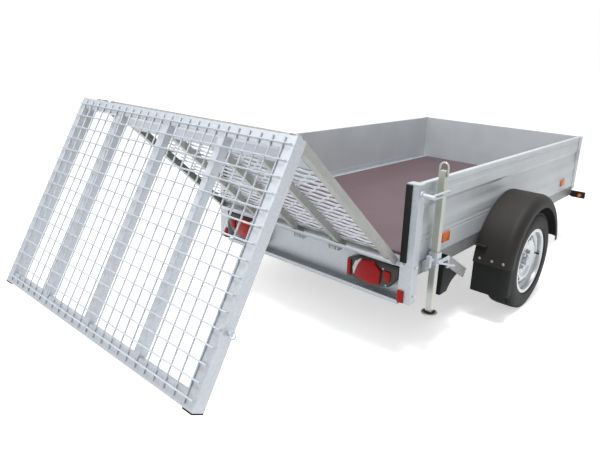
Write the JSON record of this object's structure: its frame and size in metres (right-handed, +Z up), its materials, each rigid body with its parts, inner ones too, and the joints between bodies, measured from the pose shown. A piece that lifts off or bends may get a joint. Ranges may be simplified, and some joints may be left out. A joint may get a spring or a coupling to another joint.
{
  "type": "utility trailer with folding loading ramp",
  "caption": "Open box utility trailer on one axle, with low walls, V drawbar, jockey wheel, prop stands and a two-leaf folding rear loading ramp.",
  "frame": {"origin": "on the ground, half-way between the left and right sides and half-way between the coupling nose and the ramp edge", "axes": "+Y forward towards the coupling, +X to the trailer's right, +Z up"},
  "size_m": [1.664, 4.5898, 1.0946],
  "materials": {
    "galvanised": "hot-dip galvanised, matt grey",
    "galvanised_light": "hot-dip galvanised, light satin",
    "bright_zinc": "bright zinc, satin",
    "leaf_galvanised": "galvanised, slightly green-grey",
    "leaf_plate": "galvanised sheet, blue-grey sheen",
    "yellow_zinc": "yellow-passivated zinc, satin",
    "wall_metal": "satin rolled profile",
    "floor_board": "film-faced plywood, dark brown, fine texture",
    "black_rubber": "matt moulded rubber",
    "tyre_rubber": "matt tyre rubber",
    "black_plastic": "grained black plastic",
    "wheel_silver": "silver wheel paint",
    "lamp_black": "black lamp housing",
    "lamp_red": "red prismatic lens",
    "lamp_amber": "amber reflector"
  },
  "bodies": {
    "root": {"side_beam_left": "galvanised", "side_beam_right": "galvanised", "floor_bearers": "galvanised", "rear_crossmember": "galvanised_light", "rear_posts": "galvanised_light", "front_posts": "wall_metal", "side_wall_left": "wall_metal", "side_wall_right": "wall_metal", "front_wall": "wall_metal", "floor_panel": "floor_board", "edge_strips": "galvanised_light", "post_seals": "black_rubber", "axle_beam": "galvanised", "trailing_arm_left": "galvanised", "trailing_arm_right": "galvanised", "mudguard_left": "black_plastic", "mudguard_right": "black_plastic", "mud_flaps": "black_rubber", "drawbar_left": "galvanised", "drawbar_right": "galvanised", "coupling_body": "bright_zinc", "coupling_handle": "black_plastic", "jockey_clamp": "galvanised", "jockey_tube": "galvanised", "jockey_crank": "black_plastic", "tail_lamps": "lamp_black", "tail_lenses": "lamp_red", "rear_reflectors": "lamp_red", "side_reflectors": "lamp_amber", "marker_arms": "black_rubber", "stand_clamps": "bright_zinc", "ramp_latches": "bright_zinc", "chock_holders": "galvanised", "wheel_chocks": "black_rubber", "bed_hinge": "bright_zinc"},
    "wheel_left": {"hub_left": "wheel_silver", "rim_left": "wheel_silver", "tyre_left": "tyre_rubber"},
    "wheel_right": {"hub_right": "wheel_silver", "rim_right": "wheel_silver", "tyre_right": "tyre_rubber"},
    "inner_leaf": {"inner_leaf_frame": "leaf_galvanised", "inner_leaf_grating": "bright_zinc", "inner_tip_plate": "leaf_plate"},
    "outer_leaf": {"outer_leaf_frame": "bright_zinc", "outer_leaf_grid": "bright_zinc", "outer_leaf_caps": "black_rubber", "lock_pins": "bright_zinc"},
    "stand_left": {"prop_stand_left": "yellow_zinc"},
    "stand_right": {"prop_stand_right": "yellow_zinc"},
    "jockey_leg": {"jockey_leg": "galvanised"},
    "jockey_fork": {"jockey_fork": "galvanised"},
    "jockey_wheel": {"jockey_wheel": "black_rubber"}
  },
  "joints": [
    {"name": "wheel_left_spin", "type": "hinge", "parent": "root", "child": "wheel_left", "pos_m": [-0.7375, -0.17309, 0.273], "axis": [1, 0, 0], "continuous": true},
    {"name": "wheel_right_spin", "type": "hinge", "parent": "root", "child": "wheel_right", "pos_m": [0.7375, -0.17309, 0.273], "axis": [1, 0, 0], "continuous": true},
    {"name": "ramp_lower", "type": "hinge", "parent": "root", "child": "inner_leaf", "pos_m": [0, -1.17909, 0.457], "axis": [1, 0, 0], "range_deg": [-47.25, 57.94]},
    {"name": "ramp_unfold", "type": "hinge", "parent": "inner_leaf", "child": "outer_leaf", "pos_m": [0, -1.84586, 1.07335], "axis": [-1, 0, 0], "range_deg": [-75.75, 104.25]},
    {"name": "stand_left_drop", "type": "slide", "parent": "root", "child": "stand_left", "axis": [0, 0, -1], "range_m": [0, 0.203]},
    {"name": "stand_right_drop", "type": "slide", "parent": "root", "child": "stand_right", "axis": [0, 0, -1], "range_m": [0, 0.203]},
    {"name": "jockey_height", "type": "slide", "parent": "root", "child": "jockey_leg", "axis": [0, 0, -1], "range_m": [-0.15, 0]},
    {"name": "jockey_swivel", "type": "hinge", "parent": "jockey_leg", "child": "jockey_fork", "pos_m": [0, 1.69691, 0.22], "axis": [0, 0, 1], "continuous": true},
    {"name": "jockey_roll", "type": "hinge", "parent": "jockey_fork", "child": "jockey_wheel", "pos_m": [0, 1.66191, 0.1], "axis": [1, 0, 0], "continuous": true}
  ]
}
